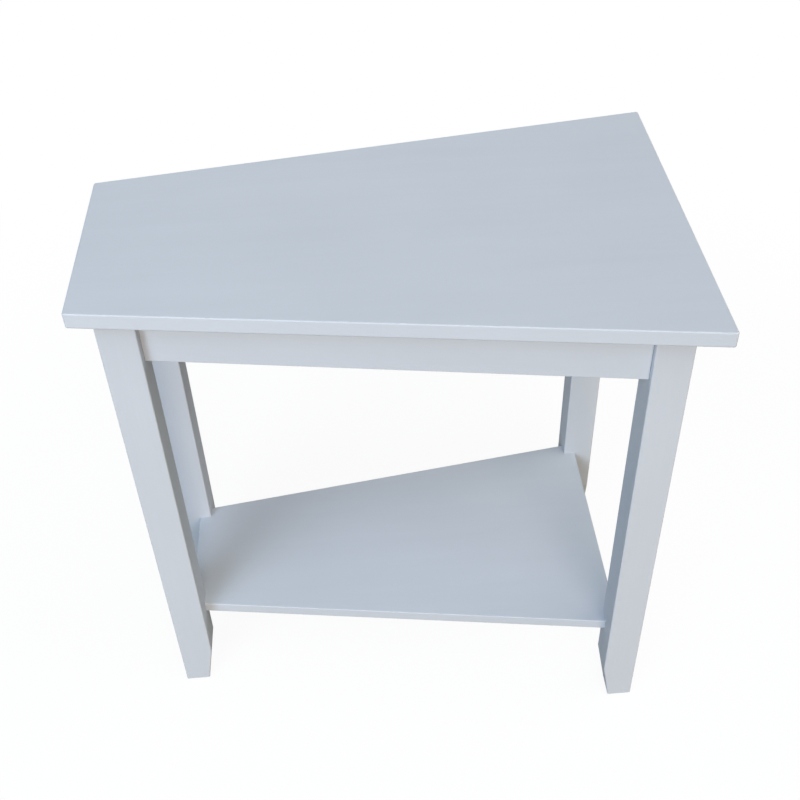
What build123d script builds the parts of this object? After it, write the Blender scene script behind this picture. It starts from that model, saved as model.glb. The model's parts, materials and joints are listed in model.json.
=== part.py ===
"""Side table with a wedge-shaped top and a lower shelf, in millimetres.

X runs along the table from the narrow end (-X) to the wide end (+X), Y from the near
flank (-Y) to the far one, Z up from the floor. The origin is on the floor, under the
middle of the top. The table is the same on both sides of the XZ plane, so every piece
of the near half is built in place and its mirror image is the far one.
"""
from build123d import *
import math
import os

# Top panel
table_height = 610.0
top_length = 608.0
top_narrow_width = 227.0
top_wide_width = 406.0
top_thickness = 17.5
top_corner_radius = 2.5
top_edge_radius = 1.4
top_lower_edge_radius = 2.2

# Legs: square in section, set back from the rim of the top
leg_side = 38.5
leg_narrow_setback = 21.5
leg_wide_setback = 25.0
leg_flank_setback = 20.7
leg_edge_radius = 1.5
foot_taper_height = 57.0
foot_taper_depth = 10.0
foot_edge_bevel = 2.0

# Aprons: boards on edge, set back from the outer faces of the legs
apron_height = 64.0
apron_thickness = 17.5
apron_narrow_setback = 11.5
apron_wide_setback = 6.5
end_apron_setback = 9.0
apron_edge_radius = 0.8

# Shelf: a wedge whose clipped corners sit in slots across the inner corners of the legs
shelf_underside_height = 111.0
shelf_thickness = 14.0
shelf_flank_setback = 43.1
shelf_end_reach = 15.0
shelf_edge_radius = 1.2
shelf_slot_clearance = 0.1

# Dowels between the apron ends and the legs
dowel_radius = 4.0
dowel_half_length = 15.0
dowel_end_bevel = 0.8
dowel_glue_line = 0.05
dowel_height_shares = (0.25, 0.75)

# Corner blocks: bridge each inner corner of the apron frame, clear of the leg
block_height = 54.0
block_thickness = 18.0
block_leg_gap = 3.0

# Hanger bolts: screwed into the leg's inner corner, with a washer and a wing nut
bolt_radius = 4.0
bolt_leg_depth = 24.0
bolt_tail = 5.0
bolt_end_bevel = 0.8
bolt_thread_fit = 0.05
bolt_hole_clearance = 0.5
washer_radius = 9.0
washer_thickness = 1.6
washer_bore_clearance = 0.3
nut_hub_radius = 6.5
nut_hub_height = 7.0
nut_wing_span = 32.0
nut_wing_rise = 8.0
nut_wing_thickness = 2.6
nut_wing_flare = 4.0
nut_wing_tip_radius = 2.0

# Screws: pan heads that sit on a flat seat
screw_radius = 2.0
screw_thread_fit = 0.05
screw_head_radius = 3.9
screw_head_height = 2.6
screw_head_edge_radius = 1.0
screw_point_length = 4.0
screw_point_radius = 0.4
screw_slot_width = 0.9
screw_slot_depth = 1.2
screw_recess_clearance = 0.6
block_screw_length = 18.0
block_screw_seat = 6.0
block_screw_tip_distance = 11.0
block_screw_depth = 13.0
top_screw_length = 32.0
top_screw_seat = 20.0
top_screw_bolt_wall = 2.5
shelf_screw_length = 32.0
shelf_screw_seat = 18.0
shelf_screw_tilt = 15.0

# Room left beyond the end of a fastener in its blind hole
hole_end_room = 0.9

# How far a cutting shape runs past the face that it opens
overrun = 5.0

# Worked out from the sizes above
leg_height = table_height - top_thickness
apron_underside_height = leg_height - apron_height
bolt_height = apron_underside_height + apron_height / 2
flank_slope = (top_wide_width - top_narrow_width) / 2 / top_length
mean_half_width = (top_wide_width + top_narrow_width) / 4
screw_recess_radius = screw_head_radius + screw_recess_clearance
bolt_hole_radius = bolt_radius + bolt_hole_clearance
top_screw_offset = bolt_hole_radius + top_screw_bolt_wall + screw_recess_radius


def half_width(x):
    """Half the width of the top at a place along its length."""
    return mean_half_width + flank_slope * x


def flank_y(x, setback):
    """Y of a line alongside the near flank of the top, set back from it along Y."""
    return setback - half_width(x)


def on_line(first, last, x):
    """The point at a place along X on the line through two points."""
    return first + (last - first) * ((x - first.X) / (last.X - first.X))


def prism(points, bottom, height):
    """An upright prism over an outline given in plan."""
    outline = Polyline(*points, close=True)
    return extrude(Plane.XY.offset(bottom) * make_face(outline), amount=height)


def rod(plane, radius, start, end):
    """A cylinder along the plane's normal, between two distances from the plane."""
    rod_align = (Align.CENTER, Align.CENTER, Align.MIN)
    return plane.offset(start) * Cylinder(radius, end - start, align=rod_align)


def far_side(shape):
    """The mirror image of a near piece, on the far side of the table."""
    return mirror(shape, about=Plane.XZ)


def both_sides(shapes):
    """The near shapes and their mirror images."""
    return shapes + [far_side(shape) for shape in shapes]


class Corner:
    """Plan of the near corner at one end of the table: where the leg, aprons and shelf meet."""

    def __init__(self, inward, leg_setback, apron_setback):
        self.inward = inward
        self.leg_outer_x = inward * (leg_setback - top_length / 2)
        self.leg_inner_x = self.leg_outer_x + inward * leg_side
        self.leg_outer_y = flank_y(self.leg_inner_x, leg_flank_setback)
        self.leg_inner_y = self.leg_outer_y + leg_side
        self.leg_corner = Vector(self.leg_inner_x, self.leg_inner_y)

        self.apron_outer_point = Vector(self.leg_inner_x, self.leg_outer_y + apron_setback)
        self.end_apron_outer_x = self.leg_outer_x + inward * end_apron_setback
        self.end_apron_inner_x = self.end_apron_outer_x + inward * apron_thickness

        self.shelf_end_x = self.leg_inner_x - inward * shelf_end_reach
        self.shelf_flank_point = Vector(self.leg_inner_x, flank_y(self.leg_inner_x, shelf_flank_setback))
        self.shelf_end_point = Vector(self.shelf_end_x, self.leg_inner_y)

    def set_apron(self, other):
        """Work out the near apron's inner face and the corner block, given the other end's corner."""
        self.along_end = Vector(0, 1)
        self.along_flank = (other.apron_outer_point - self.apron_outer_point).normalized()
        apron_depth = Vector(0, apron_thickness / abs(self.along_flank.X))
        self.apron_inner_point = self.apron_outer_point + apron_depth
        other_inner_point = other.apron_outer_point + apron_depth

        self.meeting = on_line(self.apron_inner_point, other_inner_point, self.end_apron_inner_x)
        self.diagonal = (self.along_end + self.along_flank).normalized()
        self.spread = self.along_end.dot(self.diagonal)
        leg_reach = (self.leg_corner - self.meeting).dot(self.diagonal)
        self.block_back = leg_reach + block_leg_gap
        self.block_front = self.block_back + block_thickness

    def bolt_plane(self):
        """Plane at the leg's inner corner whose normal is the hanger bolt's axis."""
        origin = self.leg_corner + Vector(0, 0, bolt_height)
        return Plane(origin, x_dir=self.diagonal.rotate(Axis.Z, 90), z_dir=self.diagonal)

    def block_seat(self):
        """Distance along the bolt from the leg's corner to the washer's seat on the block."""
        return block_leg_gap + block_thickness

    def dowel_planes(self):
        """Planes on the leg's two jointed faces, normals along the dowels, out of the leg."""
        flank_origin = (self.apron_outer_point + self.apron_inner_point) / 2
        end_mid_x = (self.end_apron_outer_x + self.end_apron_inner_x) / 2
        end_origin = Vector(end_mid_x, self.leg_inner_y)
        planes = []
        for share in dowel_height_shares:
            lift = Vector(0, 0, apron_underside_height + share * apron_height)
            planes.append(Plane(flank_origin + lift, z_dir=Vector(self.inward, 0)))
            planes.append(Plane(end_origin + lift, z_dir=Vector(0, 1)))
        return planes

    def block_screw_planes(self):
        """Planes on the screw seats of the corner block, normals pointing out of the aprons."""
        distance = self.block_front / self.spread - block_screw_tip_distance
        into_flank = self.along_flank.rotate(Axis.Z, -self.inward * 90)
        into_end = Vector(-self.inward, 0)
        lift = Vector(0, 0, leg_height - block_screw_depth)
        planes = []
        for along, into in ((self.along_flank, into_flank), (self.along_end, into_end)):
            place = self.meeting + along * distance + lift
            planes.append(Plane(place - into * block_screw_seat, z_dir=-into))
        return planes

    def top_screw_plane(self):
        """Plane on the top screw's seat inside the corner block, beside the bolt, normal down."""
        middle = self.leg_corner + self.diagonal * (block_leg_gap + block_thickness / 2)
        across = self.diagonal.rotate(Axis.Z, -self.inward * 90)
        place = middle + across * top_screw_offset
        return Plane(place + Vector(0, 0, leg_height - top_screw_seat), z_dir=Vector(0, 0, -1))

    def shelf_screw_plane(self):
        """Plane on the pocket's seat under the shelf, normal away from the leg and down."""
        clip = (self.shelf_end_point - self.shelf_flank_point).normalized()
        away = clip.rotate(Axis.Z, -self.inward * 90)
        tilt = math.radians(shelf_screw_tilt)
        back = away * math.cos(tilt) - Vector(0, 0, math.sin(tilt))
        face = (self.shelf_end_point + self.shelf_flank_point) / 2
        place = face + Vector(0, 0, shelf_underside_height + shelf_thickness / 2)
        return Plane(place + back * shelf_screw_seat, z_dir=back)


narrow = Corner(1, leg_narrow_setback, apron_narrow_setback)
wide = Corner(-1, leg_wide_setback, apron_wide_setback)
narrow.set_apron(wide)
wide.set_apron(narrow)
corners = {"narrow": narrow, "wide": wide}


def leg_section(height, side, edge_radius):
    """A rounded square in plan whose outer corner is at the origin, sides towards +X and +Y."""
    square = RectangleRounded(side, side, edge_radius)
    return Plane.XY.offset(height) * Pos(side / 2, side / 2) * square


def foot_end_section(side):
    """The bottom face of the foot, drawn in all round by its bevel."""
    square = RectangleRounded(side - 2 * foot_edge_bevel, side - 2 * foot_edge_bevel, leg_edge_radius)
    return Pos(side / 2, side / 2) * square


def leg_blank():
    """A leg with its outer corner on the Z axis and its foot tapered on the inner faces."""
    foot_side = leg_side - foot_taper_depth
    bevel_side = foot_side + foot_taper_depth * foot_edge_bevel / foot_taper_height
    shank = extrude(leg_section(foot_taper_height, leg_side, leg_edge_radius), leg_height - foot_taper_height)
    foot = loft([
        leg_section(foot_edge_bevel, bevel_side, leg_edge_radius),
        leg_section(foot_taper_height, leg_side, leg_edge_radius),
    ])
    foot_end = loft([foot_end_section(foot_side), leg_section(foot_edge_bevel, bevel_side, leg_edge_radius)])
    return shank + foot + foot_end


def shelf_slot(corner):
    """The slot across the leg's inner corner that takes the shelf's clipped corner."""
    clip = (corner.shelf_end_point - corner.shelf_flank_point).normalized() * overrun
    outward = corner.leg_corner - (corner.shelf_end_point + corner.shelf_flank_point) / 2
    points = [
        corner.shelf_flank_point - clip,
        corner.shelf_end_point + clip,
        corner.leg_corner + outward + clip,
        corner.leg_corner + outward - clip,
    ]
    return prism(points, shelf_underside_height, shelf_thickness + shelf_slot_clearance)


def near_leg(corner):
    """A near leg in place, with its shelf slot and the holes for its fasteners."""
    blank = leg_blank()
    if corner.inward < 0:
        blank = mirror(blank, about=Plane.YZ)
    leg = Pos(corner.leg_outer_x, corner.leg_outer_y) * blank
    leg -= shelf_slot(corner)
    for plane in corner.dowel_planes():
        leg -= rod(plane, dowel_radius + dowel_glue_line, -dowel_half_length - hole_end_room, overrun)
    leg -= rod(corner.bolt_plane(), bolt_radius + bolt_thread_fit, -bolt_leg_depth - hole_end_room, overrun)
    return leg - screw_hole(corner.shelf_screw_plane(), shelf_screw_length)


def top_panel():
    """The wedge-shaped top with rounded corners, eased edges and blind screw holes below."""
    end_x = top_length / 2
    points = [
        (-end_x, -top_narrow_width / 2),
        (end_x, -top_wide_width / 2),
        (end_x, top_wide_width / 2),
        (-end_x, top_narrow_width / 2),
    ]
    panel = prism(points, leg_height, top_thickness)
    panel = fillet(panel.edges().filter_by(Axis.Z), top_corner_radius)
    panel = fillet(panel.faces().sort_by(Axis.Z)[-1].edges(), top_edge_radius)
    panel = fillet(panel.faces().sort_by(Axis.Z)[0].edges(), top_lower_edge_radius)
    return panel - both_sides([top_screw_hole(corner) for corner in corners.values()])


def screw_hole(plane, length):
    """The hole for a screw's shank, from its seat to a little beyond its point."""
    return rod(plane, screw_radius + screw_thread_fit, -length - hole_end_room, overrun)


def top_screw_hole(corner):
    """The hole for the screw that holds the top to a corner block."""
    return screw_hole(corner.top_screw_plane(), top_screw_length)


def block_screw_holes(corner):
    """The holes for the shanks of a corner block's two screws."""
    return [screw_hole(plane, block_screw_length) for plane in corner.block_screw_planes()]


def near_apron():
    """The near apron, alongside the flank of the top, its ends square to the table's length."""
    points = [
        narrow.apron_outer_point,
        wide.apron_outer_point,
        wide.apron_inner_point,
        narrow.apron_inner_point,
    ]
    apron = prism(points, apron_underside_height, apron_height)
    outer_face, inner_face = apron.faces().sort_by(SortBy.AREA)[-2:].sort_by(Axis.Y)
    apron = eased_apron(outer_face, inner_face)
    for corner in corners.values():
        apron -= dowel_holes(corner, Axis.X)
        apron -= block_screw_holes(corner)
    return apron


def eased_apron(outer_face, inner_face):
    """The apron with its lower edges and its outer face's end edges rounded."""
    outer_edges = outer_face.edges().sort_by(Axis.Z)[:-1]
    inner_edge = inner_face.edges().sort_by(Axis.Z)[0]
    return fillet(outer_edges + [inner_edge], apron_edge_radius)


def end_apron(corner):
    """The apron across one end, between the near and the far leg."""
    start_x = min(corner.end_apron_outer_x, corner.end_apron_inner_x)
    length = -2 * corner.leg_inner_y
    board_align = (Align.MIN, Align.CENTER, Align.MIN)
    board = Box(apron_thickness, length, apron_height, align=board_align)
    apron = Pos(start_x, 0, apron_underside_height) * board
    faces = apron.faces().sort_by(lambda face: corner.inward * face.center().X)
    return eased_apron(faces[0], faces[-1]) - both_sides(dowel_holes(corner, Axis.Y) + block_screw_holes(corner))


def dowel_holes(corner, axis):
    """The holes in an apron's end for the dowels that run along one axis."""
    holes = []
    for plane in corner.dowel_planes():
        if abs(plane.z_dir.dot(axis.direction)) > 1 / 2:
            reach = dowel_half_length + hole_end_room
            holes.append(rod(plane, dowel_radius + dowel_glue_line, -overrun, reach))
    return holes


def shelf_panel():
    """The shelf, its four corners clipped to seat in the legs, with pockets underneath."""
    near_points = [narrow.shelf_end_point, narrow.shelf_flank_point, wide.shelf_flank_point, wide.shelf_end_point]
    far_points = [Vector(point.X, -point.Y) for point in reversed(near_points)]
    shelf = prism(near_points + far_points, shelf_underside_height, shelf_thickness)
    rims = []
    for face in (shelf.faces().sort_by(Axis.Z)[0], shelf.faces().sort_by(Axis.Z)[-1]):
        rims += [edge for edge in face.edges() if edge.length > 2 * shelf_end_reach]
    shelf = fillet(rims, shelf_edge_radius)
    cuts = []
    for corner in corners.values():
        plane = corner.shelf_screw_plane()
        cuts.append(screw_hole(plane, shelf_screw_length))
        cuts.append(rod(plane, screw_recess_radius, 0, pocket_length()))
    return shelf - both_sides(cuts)


def pocket_length():
    """How far a shelf pocket runs along its slant until all of it is out of the underside."""
    tilt = math.radians(shelf_screw_tilt)
    seat_height = shelf_thickness / 2 - shelf_screw_seat * math.sin(tilt)
    return (seat_height + screw_recess_radius / math.cos(tilt)) / math.sin(tilt) + overrun


def corner_block(corner):
    """The block across an inner corner of the frame, with its bolt hole and screw seats."""
    back, front = corner.block_back / corner.spread, corner.block_front / corner.spread
    points = [
        corner.meeting + corner.along_end * back,
        corner.meeting + corner.along_end * front,
        corner.meeting + corner.along_flank * front,
        corner.meeting + corner.along_flank * back,
    ]
    block = prism(points, leg_height - block_height, block_height)
    block -= rod(corner.bolt_plane(), bolt_hole_radius, 0, corner.block_seat() + overrun)
    block -= top_screw_hole(corner)
    block -= rod(corner.top_screw_plane(), screw_recess_radius, 0, block_height)
    block -= block_screw_holes(corner)
    for plane in corner.block_screw_planes():
        block -= rod(plane, screw_recess_radius, 0, block_thickness + overrun)
    return block


def dowel(plane):
    """A wooden dowel, half in the leg and half in the apron, its ends bevelled."""
    peg = rod(plane, dowel_radius, -dowel_half_length, dowel_half_length)
    return chamfer(peg.edges().filter_by(GeomType.CIRCLE), dowel_end_bevel)


def hanger_bolt(corner):
    """The headless bolt from the leg's corner through the block, washer and nut."""
    end = corner.block_seat() + washer_thickness + nut_hub_height + bolt_tail
    bolt = rod(corner.bolt_plane(), bolt_radius, -bolt_leg_depth, end)
    return chamfer(bolt.edges().filter_by(GeomType.CIRCLE), bolt_end_bevel)


def washer(corner):
    """The flat washer between the corner block and the wing nut."""
    seat = corner.block_seat()
    disc = rod(corner.bolt_plane(), washer_radius, seat, seat + washer_thickness)
    bore_radius = bolt_radius + washer_bore_clearance
    return disc - rod(corner.bolt_plane(), bore_radius, seat - overrun, seat + overrun)


def wing_nut(corner):
    """The wing nut: a round hub with two flat wings that rise away from the block."""
    seat = corner.block_seat() + washer_thickness
    plane = corner.bolt_plane().offset(seat)
    hub = rod(plane, nut_hub_radius, 0, nut_hub_height)
    half_span = nut_wing_span / 2
    wing_top = nut_hub_height + nut_wing_rise
    wing_points = [
        (0, nut_wing_thickness / 2),
        (half_span - nut_wing_flare, nut_hub_height / 2),
        (half_span, nut_hub_height),
        (half_span, wing_top),
        (nut_hub_radius + nut_wing_thickness / 2, wing_top),
        (nut_hub_radius, nut_hub_height),
        (0, nut_hub_height),
    ]
    outline = make_face(Polyline(*wing_points, close=True))
    tips = outline.vertices().group_by(Axis.X)[-1]
    upright = Plane(plane.origin, x_dir=plane.x_dir, z_dir=-plane.y_dir)
    wing = extrude(upright * fillet(tips, nut_wing_tip_radius), nut_wing_thickness / 2, both=True)
    nut = hub + wing + mirror(wing, about=Plane(plane.origin, z_dir=plane.x_dir))
    return nut - rod(plane, bolt_radius + bolt_thread_fit, -overrun, wing_top + overrun)


def pan_head_screw(plane, length):
    """A wood screw seated on the plane: head on the normal's side, point on the other."""
    shank = rod(plane, screw_radius, screw_point_length - length, 0)
    point_align = (Align.CENTER, Align.CENTER, Align.MIN)
    point_cone = Cone(screw_point_radius, screw_radius, screw_point_length, align=point_align)
    head = rod(plane, screw_head_radius, 0, screw_head_height)
    rim = head.edges().filter_by(GeomType.CIRCLE).sort_by(lambda edge: plane.to_local_coords(edge.center()).Z)
    head = fillet(rim[-1], screw_head_edge_radius)
    slot_align = (Align.CENTER, Align.CENTER, Align.MAX)
    slot = Box(screw_head_radius, screw_slot_width, screw_slot_depth, align=slot_align)
    crossed = slot + Rot(0, 0, 90) * slot
    return shank + plane.offset(-length) * point_cone + head - plane.offset(screw_head_height) * crossed


def near_fasteners():
    """Every fastener of the near half, by the name of its group."""
    groups = {name: [] for name in (
        "apron_dowels", "hanger_bolts", "bolt_washers", "wing_nuts",
        "block_screws", "top_screws", "shelf_screws",
    )}
    for corner in corners.values():
        groups["apron_dowels"] += [dowel(plane) for plane in corner.dowel_planes()]
        groups["hanger_bolts"].append(hanger_bolt(corner))
        groups["bolt_washers"].append(washer(corner))
        groups["wing_nuts"].append(wing_nut(corner))
        for plane in corner.block_screw_planes():
            groups["block_screws"].append(pan_head_screw(plane, block_screw_length))
        groups["top_screws"].append(pan_head_screw(corner.top_screw_plane(), top_screw_length))
        groups["shelf_screws"].append(pan_head_screw(corner.shelf_screw_plane(), shelf_screw_length))
    return groups


def all_parts():
    """Every piece of the table in place, by node name."""
    parts = {"top_panel": top_panel(), "shelf": shelf_panel()}
    near = {"apron": near_apron()}
    for end, corner in corners.items():
        parts[f"apron_{end}_end"] = end_apron(corner)
        near[f"leg_{end}"] = near_leg(corner)
        near[f"corner_block_{end}"] = corner_block(corner)
    for name, shape in near.items():
        parts[f"{name}_near"] = shape
        parts[f"{name}_far"] = far_side(shape)
    for name, shapes in near_fasteners().items():
        parts[name] = Compound(both_sides(shapes))
    return parts


os.makedirs("parts", exist_ok=True)
for node, shape in all_parts().items():
    export_step(shape, f"parts/{node}.step")
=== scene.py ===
"""Side table with a wedge-shaped top: finishes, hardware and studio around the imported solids.

X runs from the table's narrow end to its wide end, Y from the near flank to the far one
and Z up from the floor. Everything is in metres.
"""
import json
import logging
import math
from collections.abc import Sequence
from dataclasses import dataclass, field
from enum import Enum

import bmesh
import bpy
from mathutils import Matrix, Vector

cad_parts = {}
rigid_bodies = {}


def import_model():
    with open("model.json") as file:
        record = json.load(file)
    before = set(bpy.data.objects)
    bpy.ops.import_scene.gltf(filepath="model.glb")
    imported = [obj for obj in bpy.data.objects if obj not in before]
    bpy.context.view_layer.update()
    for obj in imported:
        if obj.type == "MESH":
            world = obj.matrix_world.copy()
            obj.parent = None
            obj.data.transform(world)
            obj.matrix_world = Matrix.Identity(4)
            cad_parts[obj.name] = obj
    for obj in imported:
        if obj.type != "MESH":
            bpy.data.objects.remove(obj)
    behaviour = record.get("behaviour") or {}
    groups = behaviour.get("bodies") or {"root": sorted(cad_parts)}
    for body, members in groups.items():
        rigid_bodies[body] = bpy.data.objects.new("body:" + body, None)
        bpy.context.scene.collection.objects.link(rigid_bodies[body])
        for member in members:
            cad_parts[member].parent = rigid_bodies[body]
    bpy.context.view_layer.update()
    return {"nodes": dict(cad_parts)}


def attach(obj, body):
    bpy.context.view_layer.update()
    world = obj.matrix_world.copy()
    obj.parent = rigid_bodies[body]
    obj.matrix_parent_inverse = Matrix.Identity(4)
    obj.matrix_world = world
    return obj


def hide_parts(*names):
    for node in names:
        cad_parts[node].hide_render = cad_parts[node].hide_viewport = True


for leftover in list(bpy.data.objects):
    bpy.data.objects.remove(leftover)
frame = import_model()

Color = tuple[float, float, float]
Point = tuple[float, float, float]
Range = tuple[float, float]
Outline = tuple[tuple[float, float], ...]
Settings = dict[str, object]
Inputs = dict[str | int, object]
WHITE: Color = (1.0, 1.0, 1.0)
SAME_PLACE = 1e-6
MIX_COLOR_SOCKETS = (0, 6, 7)
MIX_COLOR_RESULT = 2
log = logging.getLogger("side_table")


class Axis(Enum):
    """An axis of the table's frame, by its unit vector."""

    ALONG = (1.0, 0.0, 0.0)
    ACROSS = (0.0, 1.0, 0.0)
    UP = (0.0, 0.0, 1.0)

    @property
    def vector(self) -> Vector:
        """The unit vector."""
        return Vector(self.value)


class Side(Enum):
    """The two long sides of the table, by the sign of Y there."""

    NEAR = -1
    FAR = 1


class End(Enum):
    """The two ends of the table, by the sign of X there."""

    NARROW = -1
    WIDE = 1


def rgba(color: Color) -> tuple[float, float, float, float]:
    """A colour with full opacity."""
    return (*color, 1.0)


class Sock:
    """An output socket that joins in Python arithmetic and adds Math nodes to its tree."""

    def __init__(self, tree: "ShaderTree", socket: bpy.types.NodeSocket) -> None:
        """Wrap a socket of a tree."""
        self.tree = tree
        self.socket = socket

    def math(self, operation: str, *values: "Sock | float") -> "Sock":
        """The result of one Math node.

        Args:
            operation: The node's operation.
            values: What goes into its sockets, in order.

        Returns:
            The node's output.
        """
        return self.tree.sock("ShaderNodeMath", {"operation": operation}, dict(enumerate(values)))

    def __add__(self, other: "Sock | float") -> "Sock":
        """Sum."""
        return self.math("ADD", self, other)

    __radd__ = __add__

    def __sub__(self, other: "Sock | float") -> "Sock":
        """Difference."""
        return self.math("SUBTRACT", self, other)

    def __rsub__(self, other: float) -> "Sock":
        """Difference with the socket on the right."""
        return self.math("SUBTRACT", other, self)

    def __mul__(self, other: "Sock | float") -> "Sock":
        """Product."""
        return self.math("MULTIPLY", self, other)

    __rmul__ = __mul__

    def swing(self, reach: float) -> "Sock":
        """The value's distance from the middle of 0 to 1, times a reach."""
        return (self - 0.5) * reach

    def smooth(self, low: float, high: float) -> "Sock":
        """A smooth rise from 0 to 1.

        Args:
            low: Where the rise starts.
            high: Where it ends.

        Returns:
            The risen value.
        """
        return self.tree.sock(
            "ShaderNodeMapRange",
            {"interpolation_type": "SMOOTHSTEP"},
            {"Value": self, "From Min": low, "From Max": high, "To Min": 0.0, "To Max": 1.0},
        )


class ShaderTree:
    """The emptied node tree of a material or a world, and the one way to add nodes to it."""

    def __init__(self, owner: bpy.types.Material | bpy.types.World) -> None:
        """Empty the owner's tree."""
        owner.use_nodes = True
        self.tree = owner.node_tree
        self.tree.nodes.clear()

    def node(self, kind: str, settings: Settings, inputs: Inputs) -> bpy.types.Node:
        """Add a node.

        Args:
            kind: The node's type.
            settings: Its properties, set before the sockets.
            inputs: A value or a Sock for each socket, by name or number.

        Returns:
            The node.
        """
        made = self.tree.nodes.new(kind)
        for name, value in settings.items():
            setattr(made, name, value)
        for key, value in inputs.items():
            if isinstance(value, Sock):
                self.tree.links.new(value.socket, made.inputs[key])
            else:
                made.inputs[key].default_value = value
        return made

    def sock(
        self, kind: str, settings: Settings, inputs: Inputs, output: str | int = 0
    ) -> Sock:
        """Add a node and give one of its outputs.

        Args:
            kind: The node's type.
            settings: Its properties.
            inputs: A value or a Sock for each socket.
            output: The output's name or number.

        Returns:
            The output.
        """
        return Sock(self, self.node(kind, settings, inputs).outputs[output])

    def object_place(self, turn: Vector, stretch: Vector, offset: Vector) -> Sock:
        """Object coordinates, turned, stretched and moved for a pattern.

        Args:
            turn: Euler angles of the turn.
            stretch: Pattern units per metre on each turned axis.
            offset: What is added afterwards, in pattern units.

        Returns:
            The coordinates.
        """
        place = self.sock("ShaderNodeTexCoord", {}, {}, "Object")
        turned = self.sock("ShaderNodeMapping", {}, {"Vector": place, "Rotation": turn})
        inputs = {"Vector": turned, "Scale": stretch, "Location": offset}
        return self.sock("ShaderNodeMapping", {}, inputs)

    def noise(self, place: Sock, scale: float, detail: float = 2.0, roughness: float = 0.5) -> Sock:
        """Noise from 0 to 1.

        Args:
            place: The coordinates.
            scale: How many features a pattern unit has.
            detail: How many finer layers are added.
            roughness: How strong they are.

        Returns:
            The noise.
        """
        inputs = {"Vector": place, "Scale": scale, "Detail": detail, "Roughness": roughness}
        return self.sock("ShaderNodeTexNoise", {}, inputs)

    def mix_color(self, factor: Sock, first: Sock | Color, second: Sock | Color) -> Sock:
        """A colour between two others.

        Args:
            factor: 0 for the first, 1 for the second.
            first: A colour.
            second: Another colour.

        Returns:
            The mixed colour.
        """
        ends = [end if isinstance(end, Sock) else rgba(end) for end in (first, second)]
        inputs = dict(zip(MIX_COLOR_SOCKETS, (factor, *ends)))
        return self.sock("ShaderNodeMix", {"data_type": "RGBA"}, inputs, MIX_COLOR_RESULT)

    def mix_shader(self, factor: Sock, first: Sock, second: Sock) -> Sock:
        """A shader between two others: 0 for the first, 1 for the second."""
        return self.sock("ShaderNodeMixShader", {}, {0: factor, 1: first, 2: second})

    def bump(self, height: Sock) -> Sock:
        """The normal of a surface with a relief, whose height is in metres."""
        inputs = {"Strength": 1.0, "Distance": 1.0, "Height": height}
        return self.sock("ShaderNodeBump", {}, inputs)

    def output(self, shader: Sock, kind: str = "ShaderNodeOutputMaterial") -> None:
        """Join the finished shader to the tree's output."""
        self.node(kind, {}, {"Surface": shader})


@dataclass(frozen=True)
class Grain:
    """Which way a board's grain runs, and where its pattern starts."""

    axis: Axis = Axis.ALONG
    turn_up: float = 0.0
    offset: Point = (0.0, 0.0, 0.0)

    def place(self, tree: ShaderTree, along: float, across: float) -> Sock:
        """Coordinates for a pattern that is drawn out along the grain.

        Args:
            tree: The tree to add the nodes to.
            along: Pattern units per metre along the grain.
            across: Pattern units per metre across it.

        Returns:
            The coordinates.
        """
        stretch = Vector((across,) * 3) + self.axis.vector * (along - across)
        return tree.object_place(Vector((0, 0, -self.turn_up)), stretch, Vector(self.offset))


@dataclass(frozen=True)
class Pattern:
    """A noise pattern drawn out along the grain, with its features per metre each way."""

    along: float
    across: float
    detail: float = 2.0
    roughness: float = 0.5

    def values(self, tree: ShaderTree, grain: Grain) -> Sock:
        """The pattern's values, from 0 to 1."""
        place = grain.place(tree, self.along, self.across)
        return tree.noise(place, 1.0, self.detail, self.roughness)


@dataclass(frozen=True)
class PaintedWood:
    """Satin paint sprayed on sanded hardwood, with the grain and pores just telling through.

    The tones say how far each pattern moves the colour between its deep and its pale shade,
    and the reliefs are in metres.
    """

    grain: Grain
    color: Color = (0.580, 0.610, 0.655)
    shade: float = 0.972
    roughness: float = 0.60
    sheen: float = 0.15
    sheen_roughness: float = 0.35
    figure: Pattern = Pattern(3.0, 34.0, 3.0, 0.55)
    fibre: Pattern = Pattern(14.0, 420.0, 2.0, 0.6)
    pores: Pattern = Pattern(110.0, 1500.0, 1.0)
    cloud: Pattern = Pattern(7.0, 9.0)
    peel: Pattern = Pattern(520.0, 520.0)
    pore_edge: Range = (0.60, 0.74)
    figure_tone: float = 0.9
    fibre_tone: float = 0.5
    cloud_tone: float = 0.9
    cloud_gloss: float = 0.10
    fibre_gloss: float = 0.05
    grain_height: float = 0.6
    pore_depth: float = 0.5
    grain_relief: float = 0.000022
    peel_relief: float = 0.000006

    def material(self, name: str) -> bpy.types.Material:
        """Make the material.

        Args:
            name: Its name.

        Returns:
            The material.
        """
        made = bpy.data.materials.new(name)
        tree = ShaderTree(made)
        figure = self.figure.values(tree, self.grain)
        fibre = self.fibre.values(tree, self.grain)
        pores = self.pores.values(tree, self.grain).smooth(*self.pore_edge)
        cloud = self.cloud.values(tree, self.grain)
        peel = self.peel.values(tree, self.grain)
        tone = figure.swing(self.figure_tone) + fibre.swing(self.fibre_tone)
        tone = tone + cloud.swing(self.cloud_tone) + 0.5
        deep = tuple(part * self.shade for part in self.color)
        pale = tuple(part * (2 - self.shade) for part in self.color)
        relief = fibre.swing(self.grain_height) + figure.swing(self.grain_height)
        relief = relief - pores * self.pore_depth
        gloss = cloud.swing(self.cloud_gloss) + fibre.swing(self.fibre_gloss)
        inputs = {
            "Base Color": tree.mix_color(tone, deep, pale),
            "Roughness": self.roughness + gloss,
            "Specular IOR Level": 0.0,
            "Coat Weight": self.sheen + gloss,
            "Coat Roughness": self.sheen_roughness,
            "Normal": tree.bump(relief * self.grain_relief + peel * self.peel_relief),
        }
        tree.output(tree.sock("ShaderNodeBsdfPrincipled", {}, inputs))
        return made


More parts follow.
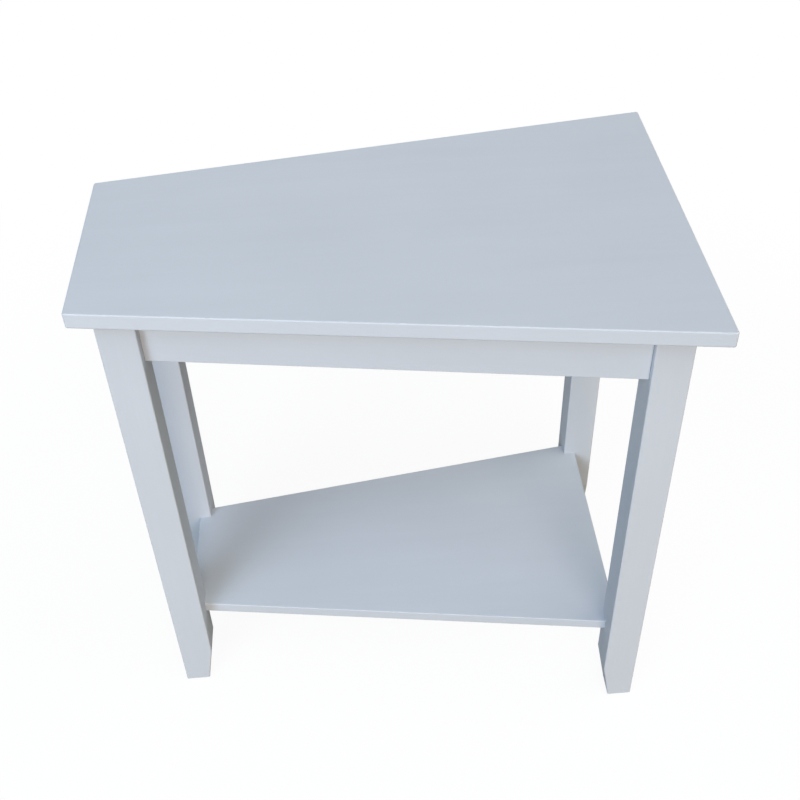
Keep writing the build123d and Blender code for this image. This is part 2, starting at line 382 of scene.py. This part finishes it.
@dataclass(frozen=True)
class BareWood:
    """Sawn and sanded pale wood without paint, with growth rings and dark pores.

    The tones say how far each pattern takes the colour from pale to dark, and the reliefs
    are in metres.
    """

    grain: Grain
    pale: Color = (0.640, 0.470, 0.285)
    dark: Color = (0.470, 0.305, 0.160)
    roughness: float = 0.62
    wander: Pattern = Pattern(6.0, 40.0, 3.0)
    fibre: Pattern = Pattern(25.0, 900.0, 2.0, 0.65)
    pores: Pattern = Pattern(160.0, 1700.0, 1.0)
    saw: Pattern = Pattern(420.0, 60.0, 1.0)
    pore_edge: Range = (0.62, 0.72)
    ring_width: float = 0.0032
    ring_stretch: Range = (1.5, 100.0)
    ring_bend: float = 2.2
    ring_detail: float = 2.0
    wave_period: float = 0.314
    ring_tone: float = 0.45
    wander_tone: float = 0.35
    fibre_tone: float = 0.5
    pore_tone: float = 0.35
    fibre_gloss: float = 0.15
    fibre_height: float = 0.5
    pore_depth: float = 0.9
    ring_height: float = 0.2
    grain_relief: float = 0.00008
    saw_relief: float = 0.00003

    def rings(self, tree: ShaderTree) -> Sock:
        """The growth rings, as waves from 0 to 1 that wander along the grain."""
        inputs = {
            "Vector": self.grain.place(tree, *self.ring_stretch),
            "Scale": self.wave_period / (self.ring_width * self.ring_stretch[1]),
            "Distortion": self.ring_bend,
            "Detail": self.ring_detail,
        }
        return tree.sock("ShaderNodeTexWave", {"bands_direction": "DIAGONAL"}, inputs, "Fac")

    def material(self, name: str) -> bpy.types.Material:
        """Make the material.

        Args:
            name: Its name.

        Returns:
            The material.
        """
        made = bpy.data.materials.new(name)
        tree = ShaderTree(made)
        wander = self.wander.values(tree, self.grain)
        rings = self.rings(tree)
        fibre = self.fibre.values(tree, self.grain)
        pores = self.pores.values(tree, self.grain).smooth(*self.pore_edge)
        saw = self.saw.values(tree, self.grain)
        tone = rings * self.ring_tone + wander * self.wander_tone
        tone = tone + fibre.swing(self.fibre_tone) + pores * self.pore_tone
        relief = fibre * self.fibre_height - pores * self.pore_depth + rings * self.ring_height
        inputs = {
            "Base Color": tree.mix_color(tone, self.pale, self.dark),
            "Roughness": self.roughness + fibre.swing(self.fibre_gloss),
            "Normal": tree.bump(relief * self.grain_relief + saw * self.saw_relief),
        }
        tree.output(tree.sock("ShaderNodeBsdfPrincipled", {}, inputs))
        return made


@dataclass(frozen=True)
class ZincSteel:
    """Bright zinc-plated steel, slightly mottled, as fasteners come out of the barrel."""

    color: Color = (0.620, 0.620, 0.600)
    dull: Color = (0.430, 0.440, 0.445)
    roughness: float = 0.27
    mottle: Pattern = Pattern(260.0, 260.0, 4.0, 0.6)
    scuffs: Pattern = Pattern(900.0, 4200.0)
    mottle_edge: Range = (0.35, 0.75)
    mottle_gloss: float = 0.25
    scuff_gloss: float = 0.12
    scuff_relief: float = 0.000006

    def material(self, name: str) -> bpy.types.Material:
        """Make the material.

        Args:
            name: Its name.

        Returns:
            The material.
        """
        made = bpy.data.materials.new(name)
        tree = ShaderTree(made)
        mottle = self.mottle.values(tree, Grain())
        scuffs = self.scuffs.values(tree, Grain())
        gloss = mottle.swing(self.mottle_gloss) + scuffs.swing(self.scuff_gloss)
        inputs = {
            "Base Color": tree.mix_color(mottle.smooth(*self.mottle_edge), self.color, self.dull),
            "Roughness": self.roughness + gloss,
            "Normal": tree.bump(scuffs * self.scuff_relief),
            "Metallic": 1.0,
        }
        tree.output(tree.sock("ShaderNodeBsdfPrincipled", {}, inputs))
        return made


def dress(node: str, material: bpy.types.Material) -> None:
    """Give a CAD node its material and report it."""
    frame["nodes"][node].material_slots[0].material = material
    log.info("dressed %s", node)


def new_piece(
    name: str, mesh: bpy.types.Mesh, material: bpy.types.Material, nodes: Sequence[str]
) -> None:
    """Put a new piece into the scene in place of CAD nodes.

    Args:
        name: The piece's name.
        mesh: Its mesh, in place.
        material: Its material.
        nodes: The CAD nodes that it stands for.
    """
    piece = bpy.data.objects.new(name, mesh)
    bpy.context.scene.collection.objects.link(piece)
    mesh.materials.clear()
    mesh.materials.append(material)
    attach(piece, "root")
    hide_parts(*nodes)
    log.info("built %s, %d faces", name, len(mesh.polygons))


def smooth_by_angle(mesh: bpy.types.Mesh, degrees: float) -> None:
    """Shade a mesh smooth, apart from edges sharper than an angle."""
    mesh.polygons.foreach_set("use_smooth", [True] * len(mesh.polygons))
    mesh.set_sharp_from_angle(angle=math.radians(degrees))


@dataclass(frozen=True)
class TablePlan:
    """Sizes of the table that its pieces share, and what follows from them."""

    length: float = 0.608
    narrow_width: float = 0.227
    wide_width: float = 0.406
    leg_side: float = 0.0385
    leg_setback: dict[End, float] = field(
        default_factory=lambda: {End.NARROW: 0.0215, End.WIDE: 0.025}
    )
    leg_flank_setback: float = 0.0207
    apron_setback: dict[End, float] = field(
        default_factory=lambda: {End.NARROW: 0.0115, End.WIDE: 0.0065}
    )
    bolt_height: float = 0.5605

    def half_width(self, x: float) -> float:
        """Half the width of the top at a place along its length."""
        slope = (self.wide_width - self.narrow_width) / 2 / self.length
        return (self.wide_width + self.narrow_width) / 4 + slope * x

    def leg_corner(self, end: End) -> Vector:
        """The inner corner of the near leg at one end, in plan."""
        x = end.value * (self.length / 2 - self.leg_setback[end] - self.leg_side)
        return Vector((x, self.leg_flank_setback + self.leg_side - self.half_width(x), 0))

    def apron_point(self, end: End) -> Vector:
        """Where the near apron's outer face meets the near leg at one end, in plan."""
        corner = self.leg_corner(end)
        return Vector((corner.x, corner.y - self.leg_side + self.apron_setback[end], 0))

    def along_apron(self, end: End) -> Vector:
        """Unit vector along the near apron, from one end into the table."""
        other = End.WIDE if end is End.NARROW else End.NARROW
        return (self.apron_point(other) - self.apron_point(end)).normalized()

    def apron_turn(self) -> float:
        """The angle of the near apron from the table's length, seen from above."""
        direction = self.along_apron(End.NARROW)
        return math.atan2(direction.y, direction.x)

    def diagonal(self, end: End, side: Side) -> Vector:
        """Unit vector from a leg's inner corner into the table, between its two aprons."""
        near = (self.along_apron(end) + Axis.ACROSS.vector).normalized()
        return Vector((near.x, -side.value * near.y, 0))

    def corners(self) -> list[tuple[End, Side]]:
        """The four corners."""
        return [(end, side) for end in End for side in Side]

    def bolt_frame(self, end: End, side: Side) -> Matrix:
        """The frame of a corner's bolt: origin on the leg's inner corner, Z along the bolt.

        Args:
            end: The corner's end.
            side: The corner's side.

        Returns:
            The frame's matrix.
        """
        corner = self.leg_corner(end)
        out = self.diagonal(end, side)
        level = Axis.UP.vector.cross(out)
        turn = Matrix((level, out.cross(level), out)).transposed()
        origin = Vector((corner.x, -side.value * corner.y, self.bolt_height))
        return Matrix.Translation(origin) @ turn.to_4x4()

    def bolt_places(self, out: float = 0.0) -> list[Matrix]:
        """The frames of the four bolts, each moved out along its bolt."""
        moved = Matrix.Translation((0, 0, out))
        return [self.bolt_frame(*corner) @ moved for corner in self.corners()]


@dataclass
class PaintedBoards:
    """The boards and legs that show: their CAD solids, each with its own run of grain."""

    plan: TablePlan
    leg_start: float = 73.0
    leg_step: float = 12.7
    leg_offset_shares: Point = (1.0, 1 / 3, 1 / 7)

    def grains(self) -> dict[str, Grain]:
        """The grain of each painted piece, by node."""
        turn = self.plan.apron_turn()
        grains = {
            "top_panel": Grain(offset=(3.1, 7.7, 1.3)),
            "shelf": Grain(offset=(17.9, 2.3, 5.1)),
            "apron_near": Grain(turn_up=turn, offset=(29.3, 11.0, 3.7)),
            "apron_far": Grain(turn_up=-turn, offset=(41.7, 5.9, 8.2)),
            "apron_narrow_end": Grain(Axis.ACROSS, offset=(6.4, 53.0, 2.9)),
            "apron_wide_end": Grain(Axis.ACROSS, offset=(9.8, 61.5, 4.4)),
        }
        for number, (end, side) in enumerate(self.plan.corners()):
            start = self.leg_start + self.leg_step * number
            name = f"leg_{end.name}_{side.name}".lower()
            offset = tuple(start * share for share in self.leg_offset_shares)
            grains[name] = Grain(Axis.UP, offset=offset)
        return grains

    def build(self) -> None:
        """Dress every painted piece."""
        for node, grain in self.grains().items():
            dress(node, PaintedWood(grain).material(f"paint_{node}"))


@dataclass
class CornerBlocks:
    """The four bare wooden blocks in the corners of the frame, with their arrises eased."""

    plan: TablePlan
    ease: float = 0.0007
    ease_steps: int = 2
    round_profile: float = 0.5
    flat_angle: float = 1.0
    sharp_angle: float = 50.0
    smooth_angle: float = 25.0
    grain_step: Point = (5.3, 2.1, 3.7)
    dowel_grain: Grain = Grain(offset=(90.0, 30.0, 7.0))

    def block_mesh(self, node: str) -> bpy.types.Mesh:
        """The CAD block's mesh, merged and with its sharp edges rounded a little.

        Args:
            node: The block's CAD node.

        Returns:
            The new mesh.
        """
        bm = bmesh.new()
        bm.from_mesh(frame["nodes"][node].data)
        bmesh.ops.remove_doubles(bm, verts=bm.verts, dist=SAME_PLACE)
        bmesh.ops.dissolve_limit(
            bm, angle_limit=math.radians(self.flat_angle), verts=bm.verts, edges=bm.edges
        )
        sharp = [
            edge for edge in bm.edges
            if edge.is_manifold and edge.calc_face_angle() > math.radians(self.sharp_angle)
        ]
        bmesh.ops.bevel(
            bm, geom=sharp, offset=self.ease, offset_type="OFFSET", affect="EDGES",
            segments=self.ease_steps, profile=self.round_profile, material=-1,
            clamp_overlap=True,
        )
        mesh = bpy.data.meshes.new(f"{node}_eased")
        bm.to_mesh(mesh)
        bm.free()
        smooth_by_angle(mesh, self.smooth_angle)
        return mesh

    def build(self) -> None:
        """Build and dress the four blocks and the hidden dowels."""
        for number, (end, side) in enumerate(self.plan.corners()):
            out = self.plan.diagonal(end, side)
            turn = math.atan2(out.y, out.x) + math.pi / 2
            grain = Grain(turn_up=turn, offset=tuple(number * part for part in self.grain_step))
            name = f"{end.name}_{side.name}".lower()
            node = f"corner_block_{name}"
            material = BareWood(grain).material(f"bare_{node}")
            new_piece(f"eased_block_{name}", self.block_mesh(node), material, [node])
        dress("apron_dowels", BareWood(self.dowel_grain).material("bare_dowels"))


@dataclass
class HangerBolts:
    """The four hanger bolts: fine thread outside the leg, coarse wood thread in it."""

    plan: TablePlan
    radius: float = 0.004
    leg_depth: float = 0.024
    reach: float = 0.0346
    end_bevel: float = 0.0008
    fine_pitch: float = 0.00125
    fine_depth: float = 0.0007
    coarse_pitch: float = 0.0026
    coarse_depth: float = 0.0010
    change: float = -0.003
    flank_shares: tuple[float, ...] = (0.0, 0.42, 0.58, 1.0)
    round_steps: int = 28
    spare_turns: int = 3
    smooth_angle: float = 30.0

    def thread(
        self, bm: bmesh.types.BMesh, pitch: float, depth: float, start: float, end: float
    ) -> None:
        """Add a length of thread, closed at both ends.

        Args:
            bm: What to add it to.
            pitch: The thread's pitch.
            depth: Its depth.
            start: Where it starts on the bolt's axis.
            end: Where it ends.
        """
        turn = bmesh.new()
        root, crest = self.radius - depth, self.radius
        radii = (root, crest, crest, root)
        low = start - pitch * (self.spare_turns - 1)
        verts = [
            turn.verts.new((radius, 0, low + share * pitch))
            for share, radius in zip(self.flank_shares, radii)
        ]
        edges = [turn.edges.new(pair) for pair in zip(verts, verts[1:])]
        turns = math.ceil((end - start) / pitch) + self.spare_turns
        bmesh.ops.spin(
            turn, geom=verts + edges, cent=(0, 0, 0), axis=Axis.UP.vector,
            angle=turns * math.tau, steps=turns * self.round_steps,
            dvec=Axis.UP.vector * pitch / self.round_steps, use_merge=False,
        )
        bmesh.ops.remove_doubles(turn, verts=turn.verts, dist=SAME_PLACE)
        for place, normal in ((start, -1.0), (end, 1.0)):
            whole = turn.verts[:] + turn.edges[:] + turn.faces[:]
            bmesh.ops.bisect_plane(
                turn, geom=whole, plane_co=(0, 0, place), plane_no=(0, 0, normal), clear_outer=True
            )
            rim = [edge for edge in turn.edges if edge.is_boundary and self.at_height(edge, place)]
            cap = bmesh.ops.edgeloop_fill(turn, edges=rim)["faces"]
            bmesh.ops.inset_region(turn, faces=cap, thickness=self.end_bevel, depth=0.0)
            bmesh.ops.translate(turn, verts=cap[0].verts[:], vec=(0, 0, normal * self.end_bevel))
        bmesh.ops.recalc_face_normals(turn, faces=turn.faces)
        made = bpy.data.meshes.new("thread")
        turn.to_mesh(made)
        turn.free()
        bm.from_mesh(made)
        bpy.data.meshes.remove(made)

    @staticmethod
    def at_height(edge: bmesh.types.BMEdge, height: float) -> bool:
        """Whether both ends of an edge lie at a height."""
        return all(abs(vert.co.z - height) < SAME_PLACE for vert in edge.verts)

    def build(self, material: bpy.types.Material) -> None:
        """Build the four bolts as one piece in the metal's material."""
        bolt = bmesh.new()
        tip = self.end_bevel - self.leg_depth
        self.thread(bolt, self.coarse_pitch, self.coarse_depth, tip, self.change)
        shoulder = self.change + 2 * self.end_bevel
        self.thread(bolt, self.fine_pitch, self.fine_depth, shoulder, self.reach)
        mesh = repeated(bolt, self.plan.bolt_places())
        mesh.name = "hanger_bolts_threaded"
        smooth_by_angle(mesh, self.smooth_angle)
        new_piece("hanger_bolts_threaded", mesh, material, ["hanger_bolts"])


def repeated(bm: bmesh.types.BMesh, places: Sequence[Matrix]) -> bpy.types.Mesh:
    """One mesh with a copy of a shape at each place.

    Args:
        bm: The shape; it is freed.
        places: The places' matrices.

    Returns:
        The mesh.
    """
    single = bpy.data.meshes.new("single")
    bm.to_mesh(single)
    bm.free()
    whole = bmesh.new()
    for place in places:
        copy = single.copy()
        copy.transform(place)
        whole.from_mesh(copy)
        bpy.data.meshes.remove(copy)
    mesh = bpy.data.meshes.new("repeated")
    whole.to_mesh(mesh)
    whole.free()
    bpy.data.meshes.remove(single)
    return mesh


@dataclass
class WingNuts:
    """The four wing nuts: a tapered hub and two cast wings that lean outwards.

    The outlines are pairs of the distance from the bolt's axis and the height over the seat.
    """

    plan: TablePlan
    seat: float = 0.0226
    hub_outline: Outline = (
        (0.00405, 0.0), (0.0065, 0.0), (0.0065, 0.0012), (0.0052, 0.0070), (0.00405, 0.0070),
    )
    wing_outline: Outline = (
        (0.00465, 0.0016), (0.0120, 0.0042), (0.0152, 0.0066), (0.0160, 0.0098), (0.0158, 0.0134),
        (0.0144, 0.0150), (0.0099, 0.0148), (0.0083, 0.0130), (0.0065, 0.0082), (0.00465, 0.0068),
    )
    wing_thickness: float = 0.0026
    round_steps: int = 48
    voxel: float = 0.00032
    relax_factor: float = 0.5
    relax_steps: int = 3
    smooth_angle: float = 60.0

    def hub(self, bm: bmesh.types.BMesh) -> None:
        """Add the hub: a tapered ring spun round the bolt's axis."""
        verts = [bm.verts.new((radius, 0, height)) for radius, height in self.hub_outline]
        edges = [bm.edges.new(pair) for pair in zip(verts, verts[1:] + verts[:1])]
        bmesh.ops.spin(
            bm, geom=verts + edges, cent=(0, 0, 0), axis=Axis.UP.vector, angle=math.tau,
            steps=self.round_steps, use_merge=True,
        )

    def wing(self, bm: bmesh.types.BMesh, direction: int) -> None:
        """Add one wing.

        Args:
            bm: What to add it to.
            direction: 1 or -1, the side that the wing is on.
        """
        half = self.wing_thickness / 2
        verts = [bm.verts.new((direction * x, -half, z)) for x, z in self.wing_outline]
        face = bm.faces.new(verts)
        moved = bmesh.ops.extrude_face_region(bm, geom=[face])["geom"]
        risen = [item for item in moved if isinstance(item, bmesh.types.BMVert)]
        bmesh.ops.translate(bm, verts=risen, vec=(0, self.wing_thickness, 0))

    def melt(self, bm: bmesh.types.BMesh) -> bmesh.types.BMesh:
        """Melt overlapping shells into one skin with soft inner corners, as a casting has.

        Args:
            bm: The shells; it is freed.

        Returns:
            The skin.
        """
        shells = bpy.data.meshes.new("shells")
        bm.to_mesh(shells)
        bm.free()
        holder = bpy.data.objects.new("shells", shells)
        bpy.context.scene.collection.objects.link(holder)
        remesh = holder.modifiers.new("melt", "REMESH")
        remesh.mode = "VOXEL"
        remesh.voxel_size = self.voxel
        relax = holder.modifiers.new("relax", "SMOOTH")
        relax.factor = self.relax_factor
        relax.iterations = self.relax_steps
        bpy.context.view_layer.update()
        depsgraph = bpy.context.evaluated_depsgraph_get()
        melted = bpy.data.meshes.new_from_object(holder.evaluated_get(depsgraph))
        skin = bmesh.new()
        skin.from_mesh(melted)
        bpy.data.objects.remove(holder)
        for spent in (shells, melted):
            bpy.data.meshes.remove(spent)
        return skin

    def build(self, material: bpy.types.Material) -> None:
        """Build the four nuts as one piece in the metal's material."""
        bm = bmesh.new()
        self.hub(bm)
        for direction in (1, -1):
            self.wing(bm, direction)
        bmesh.ops.recalc_face_normals(bm, faces=bm.faces)
        mesh = repeated(self.melt(bm), self.plan.bolt_places(self.seat))
        mesh.name = "wing_nuts_cast"
        smooth_by_angle(mesh, self.smooth_angle)
        new_piece("wing_nuts_cast", mesh, material, ["wing_nuts"])


@dataclass(frozen=True)
class PhotoCamera:
    """The camera, where the photograph was taken from. Angles are in degrees."""

    place: Point = (-0.031617, -0.949910, 1.245241)
    yaw: float = 3.635
    pitch: float = 42.134
    roll: float = 1.363
    focal_px: float = 1124.831
    centre_px: tuple[float, float] = (416.233, 389.613)
    image_px: int = 800
    sensor_mm: float = 36.0

    def build(self) -> None:
        """Make the camera and give it to the scene."""
        yaw, pitch, roll = (math.radians(angle) for angle in (self.yaw, self.pitch, self.roll))
        ahead = Vector(
            (math.sin(yaw) * math.cos(pitch), math.cos(yaw) * math.cos(pitch), -math.sin(pitch))
        )
        level = Vector((math.cos(yaw), -math.sin(yaw), 0))
        down = ahead.cross(level)
        right = level * math.cos(roll) + down * math.sin(roll)
        up = ahead.cross(-right)
        data = bpy.data.cameras.new("photo_camera")
        data.sensor_fit = "HORIZONTAL"
        data.sensor_width = self.sensor_mm
        data.lens = self.focal_px / self.image_px * self.sensor_mm
        middle = (self.image_px - 1) / 2
        data.shift_x = (middle - self.centre_px[0]) / self.image_px
        data.shift_y = (self.centre_px[1] - middle) / self.image_px
        camera = bpy.data.objects.new("photo_camera", data)
        turn = Matrix((right, up, -ahead)).transposed().to_4x4()
        camera.matrix_world = Matrix.Translation(self.place) @ turn
        bpy.context.scene.collection.objects.link(camera)
        bpy.context.scene.camera = camera


@dataclass(frozen=True)
class Softbox:
    """A large soft lamp that faces the table."""

    name: str
    azimuth: float
    elevation: float
    distance: float
    size: float
    light: Color
    aim: Point = (0.0, 0.0, 0.35)

    def build(self) -> None:
        """Make the lamp, whose light is how bright it makes a white surface at its aim."""
        data = bpy.data.lights.new(self.name, "AREA")
        data.shape = "DISK"
        data.size = self.size
        level = max(self.light)
        data.color = [part / level for part in self.light]
        # A disk lamp lights what it faces by power / pi / (distance ** 2 + radius ** 2), of
        # which a white surface shows 1 / pi.
        data.energy = level * math.pi ** 2 * (self.distance ** 2 + (self.size / 2) ** 2)
        turn, lift = math.radians(self.azimuth), math.radians(self.elevation)
        out = Vector(
            (math.sin(turn) * math.cos(lift), -math.cos(turn) * math.cos(lift), math.sin(lift))
        )
        lamp = bpy.data.objects.new(self.name, data)
        lamp.location = Vector(self.aim) + out * self.distance
        lamp.rotation_mode = "QUATERNION"
        lamp.rotation_quaternion = out.to_track_quat("Z", "Y")
        lamp.visible_camera = False
        bpy.context.scene.collection.objects.link(lamp)


@dataclass(frozen=True)
class Studio:
    """The pale floor, the even white surroundings and the lamps."""

    lamps: tuple[Softbox, ...] = (
        Softbox("left_window", -30.0, 24.0, 20.0, 10.0, (0.233, 0.281, 0.331)),
        Softbox("left_lamp", -40.0, 35.0, 2.4, 1.5, (0.209, 0.243, 0.287)),
        Softbox("front_low", 10.0, 10.0, 20.0, 10.0, (0.124, 0.075, 0.035)),
        Softbox("front_wall", 10.0, 24.0, 20.0, 10.0, (0.339, 0.313, 0.284)),
        Softbox("left_high", -25.0, 60.0, 20.0, 15.4, (0.000, 0.027, 0.085)),
        Softbox("right_high", 25.0, 60.0, 20.0, 15.4, (0.194, 0.212, 0.200)),
        Softbox("right_lamp", 60.0, 60.0, 2.4, 1.5, (0.055, 0.049, 0.031)),
        Softbox("right_fill", 90.0, 35.0, 20.0, 15.4, (0.240, 0.240, 0.240)),
        Softbox("back_fill", 180.0, 12.0, 20.0, 15.4, (0.280, 0.280, 0.280)),
    )
    floor_radius: float = 30.0
    floor_sides: int = 64
    floor_gap: float = 0.0004
    floor_color: Color = (0.27, 0.26, 0.22)
    floor_white: float = 0.93
    speckle_scale: float = 40.0
    speckle_detail: float = 3.0
    speckle_shade: float = 0.97
    shadow_reach: Range = (0.6, 1.3)
    world_level: float = 0.08

    @staticmethod
    def shown_directly(tree: ShaderTree) -> Sock:
        """1 for what the camera sees straight, in a reflection or through glass, else 0."""
        rays = tree.node("ShaderNodeLightPath", {}, {})
        camera, glossy, through = (
            Sock(tree, rays.outputs[name])
            for name in ("Is Camera Ray", "Is Glossy Ray", "Is Transmission Ray")
        )
        return camera.math("MAXIMUM", camera, glossy.math("MAXIMUM", glossy, through))

    def floor_material(self) -> bpy.types.Material:
        """White to the camera, with the table's shadow on it; pale where it lights the table.

        From below the floor is clear, so that the underside of the table can be looked at.

        Returns:
            The material.
        """
        made = bpy.data.materials.new("studio_floor")
        tree = ShaderTree(made)
        place = tree.sock("ShaderNodeTexCoord", {}, {}, "Object")
        away = tree.sock("ShaderNodeVectorMath", {"operation": "LENGTH"}, {0: place}, "Value")
        speckle = tree.noise(place, self.speckle_scale, self.speckle_detail)
        deep = tuple(part * self.speckle_shade for part in self.floor_color)
        pale = tree.mix_color(speckle, deep, self.floor_color)
        plain = tree.sock("ShaderNodeBsdfDiffuse", {}, {"Color": pale})
        shaded = tree.sock("ShaderNodeBsdfDiffuse", {}, {"Color": rgba(WHITE)})
        white = tree.sock("ShaderNodeEmission", {}, {"Color": rgba(WHITE), "Strength": 1.0})
        share = self.floor_white + away.smooth(*self.shadow_reach) * (1 - self.floor_white)
        seen = tree.mix_shader(share, shaded, white)
        top = tree.mix_shader(self.shown_directly(tree), plain, seen)
        below = tree.sock("ShaderNodeNewGeometry", {}, {}, "Backfacing")
        clear = tree.sock("ShaderNodeBsdfTransparent", {}, {})
        tree.output(tree.mix_shader(below, top, clear))
        return made

    def build_floor(self) -> None:
        """Make the floor, which isn't part of the table."""
        bm = bmesh.new()
        bmesh.ops.create_circle(
            bm, cap_ends=True, segments=self.floor_sides, radius=self.floor_radius
        )
        bmesh.ops.translate(bm, verts=bm.verts, vec=(0, 0, -self.floor_gap))
        mesh = bpy.data.meshes.new("floor")
        bm.to_mesh(mesh)
        bm.free()
        mesh.materials.append(self.floor_material())
        floor = bpy.data.objects.new("floor", mesh)
        bpy.context.scene.collection.objects.link(floor)

    def build_world(self) -> None:
        """Make the surroundings: white where they show, a plain soft light elsewhere."""
        world = bpy.data.worlds.new("studio_world")
        tree = ShaderTree(world)
        soft, white = (
            tree.sock("ShaderNodeBackground", {}, {"Color": rgba(WHITE), "Strength": strength})
            for strength in (self.world_level, 1.0)
        )
        mixed = tree.mix_shader(self.shown_directly(tree), soft, white)
        tree.output(mixed, "ShaderNodeOutputWorld")
        bpy.context.scene.world = world

    def build(self) -> None:
        """Make the studio."""
        self.build_floor()
        self.build_world()
        for lamp in self.lamps:
            lamp.build()
        bpy.context.scene.view_settings.view_transform = "Standard"


@dataclass
class SideTable:
    """The whole table: boards, corner blocks and fasteners."""

    plan: TablePlan = field(default_factory=TablePlan)

    def build(self) -> None:
        """Build and dress every piece."""
        PaintedBoards(self.plan).build()
        CornerBlocks(self.plan).build()
        zinc = ZincSteel().material("zinc_plate")
        HangerBolts(self.plan).build(zinc)
        WingNuts(self.plan).build(zinc)
        for node in ("bolt_washers", "block_screws", "top_screws", "shelf_screws"):
            dress(node, zinc)


def main() -> None:
    """Build the table, the camera and the studio."""
    logging.basicConfig(level=logging.INFO, format="%(message)s")
    SideTable().build()
    PhotoCamera().build()
    Studio().build()


if __name__ == "__main__":
    main()
